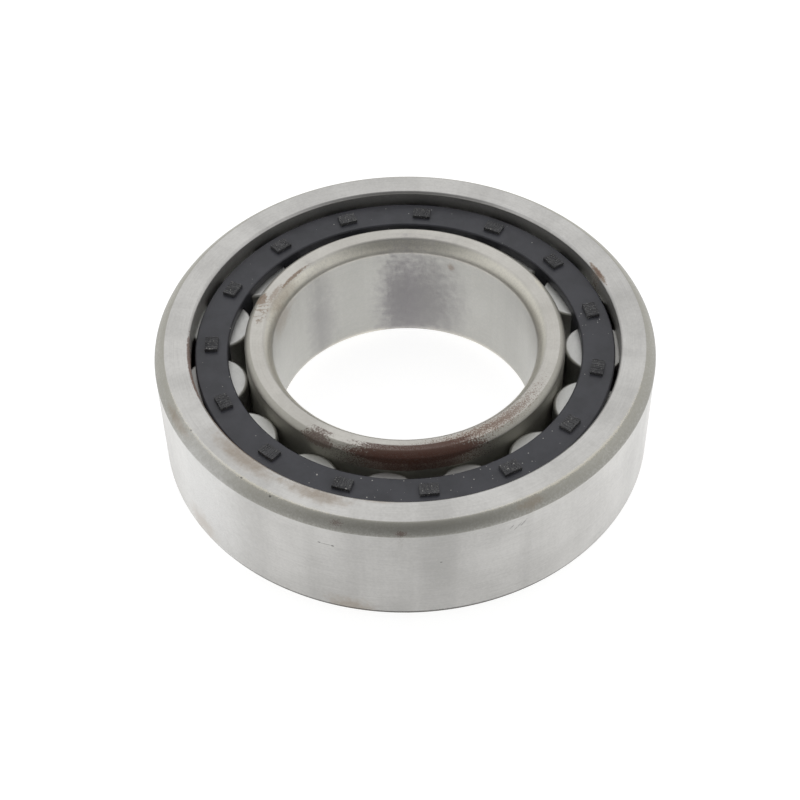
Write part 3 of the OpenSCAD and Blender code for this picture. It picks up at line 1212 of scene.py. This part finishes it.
@dataclass(frozen=True)
class Studio:
    """The pale floor, the white room, the soft light and the camera."""

    elevation: float = 46.8
    distance: float = 0.3017
    lens: float = 77.85
    roll: float = -0.87
    shift: Point = (-0.0069, -0.0256)
    paper: float = 0.75
    horizon: float = 0.75
    zenith: float = 0.95
    front: float = 0.15
    dim_from: float = 0.55
    dim_full: float = 0.97
    floor_gap: float = 0.05 * MM
    floor_reach: float = 3.0
    floor_white: float = 0.88
    # The floor's glow: painted light from below, dimmest round a point in front of the bearing as painted
    # shade
    glow_centre: Point = (2.0, -95.0)
    glow_start: float = 20.0
    glow_end: float = 95.0
    glow_near: float = 0.34
    glow_far: float = 0.74
    box_place: Triple = (-0.08, 0.45, 0.55)
    box_size: float = 0.5
    box_power: float = 0.08

    def build(self, floor_height: float) -> None:
        """Sets up everything round the bearing.

        Args:
            floor_height: Height that the bearing stands on, in metres.
        """
        self.build_camera()
        self.build_floor(floor_height)
        self.build_world()
        self.build_light()

    def build_camera(self) -> None:
        """Places the camera, which looks at the bearing's centre from the front and above."""
        data = bpy.data.cameras.new("camera")
        data.lens = self.lens
        data.shift_x, data.shift_y = self.shift
        camera = bpy.data.objects.new("camera", data)
        bpy.context.scene.collection.objects.link(camera)
        tilt = math.radians(self.elevation)
        away = Vector((0.0, -math.cos(tilt), math.sin(tilt)))
        turn = away.to_track_quat("Z", "Y").to_matrix().to_4x4()
        camera.matrix_world = (Matrix.Translation(away * self.distance) @ turn
                               @ Matrix.Rotation(math.radians(self.roll), 4, "Z"))
        bpy.context.scene.camera = camera

    def build_floor(self, height: float) -> None:
        """Lays a pale floor. Towards the steel it is matt paper that also glows, painted light from below,
        dimmer in a patch in front of the bearing as painted shade. It shows as plain white behind it.

        Args:
            height: Height of the floor, in metres.
        """
        reach = self.floor_reach
        height -= self.floor_gap
        floor = new_piece("floor")
        corners = [(x * reach, y * reach, height) for x, y in ((-1, -1), (1, -1), (1, 1), (-1, 1))]
        floor.data.from_pydata(corners, [], [(0, 1, 2, 3)])
        graph, material, shader = new_finish("white_paper")
        shader.inputs["Base Color"].default_value = (self.paper, self.paper, self.paper, 1.0)
        shader.inputs["Roughness"].default_value = 0.9
        away = graph.run("ShaderNodeVectorMath", {0: own_place(graph), 1: (*self.glow_centre, height / MM)},
                         out="Value", operation="DISTANCE")
        glow = graph.ramp(away, self.glow_start, self.glow_end, self.glow_near, self.glow_far)
        graph.feed(shader.inputs["Emission Color"], glow)
        shader.inputs["Emission Strength"].default_value = 1.0
        shown = graph.node("ShaderNodeBsdfPrincipled")
        shown.inputs["Base Color"].default_value = (0.3, 0.3, 0.3, 1.0)
        shown.inputs["Emission Color"].default_value = (1.0, 1.0, 1.0, 1.0)
        shown.inputs["Emission Strength"].default_value = self.floor_white
        seen = graph.run("ShaderNodeLightPath", {}, out="Is Camera Ray")
        both = graph.run("ShaderNodeMixShader", {0: seen, 1: shader.outputs[0], 2: shown.outputs[0]})
        graph.feed(material.node_tree.nodes["Material Output"].inputs["Surface"], both)
        floor.data.materials.append(material)
        floor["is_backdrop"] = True

    def build_world(self) -> None:
        """Surrounds the scene with a white room that is brighter overhead and dimmer towards the front."""
        world = bpy.data.worlds.new("white_room")
        bpy.context.scene.world = world
        world.use_nodes = True
        graph = Graph(world.node_tree)
        back = world.node_tree.nodes["Background"]
        back.inputs["Color"].default_value = (1.0, 1.0, 1.0, 1.0)
        way = graph.run("ShaderNodeTexCoord", {}, out="Generated")
        parts = graph.node("ShaderNodeSeparateXYZ")
        graph.feed(parts.inputs[0], way)
        sky = graph.ramp(parts.outputs["Z"], -0.1, 0.9, self.horizon, self.zenith)
        tilt = math.radians(self.elevation)
        ahead = graph.run("ShaderNodeVectorMath", {0: way, 1: (0.0, -math.cos(tilt), math.sin(tilt))},
                          out="Value", operation="DOT_PRODUCT")
        dim = graph.ramp(ahead, self.dim_from, self.dim_full, 1.0, self.front)
        seen = graph.run("ShaderNodeLightPath", {}, out="Is Camera Ray")
        lit = graph.math("MULTIPLY", sky, dim)
        graph.feed(back.inputs["Strength"], graph.math("ADD", graph.math("MULTIPLY", lit, graph.math(
            "SUBTRACT", 1.0, seen)), seen))
        bpy.context.scene.view_settings.view_transform = "Standard"

    def build_light(self) -> None:
        """Hangs one soft box behind and above the bearing."""
        data = bpy.data.lights.new("back_box", "AREA")
        data.size, data.energy = self.box_size, self.box_power
        lamp = bpy.data.objects.new("back_box", data)
        bpy.context.scene.collection.objects.link(lamp)
        lamp.location = self.box_place
        lamp.rotation_mode = "QUATERNION"
        lamp.rotation_quaternion = Vector(self.box_place).to_track_quat("Z", "Y")


def main() -> None:
    """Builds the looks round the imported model."""
    logging.basicConfig(level=logging.INFO, format="%(name)s: %(message)s")
    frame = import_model()
    cad_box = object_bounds()
    low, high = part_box("roller_01")
    pitch, radius = (low.x + high.x) / 2 / MM, (high.x - low.x) / 2 / MM
    race = pitch + radius + (pitch - radius - Span.of(frame["nodes"]["inner_ring"]).outer)
    Studio().build(cad_box[0].z)
    effects, lathe = Effects(), Lathe()
    rings = Rings(lathe, effects)
    rings.build_outer(frame, race)
    rings.build_inner(frame)
    Rollers(lathe, effects).build(frame)
    Cage(effects).build(frame)


if __name__ == "__main__":
    main()
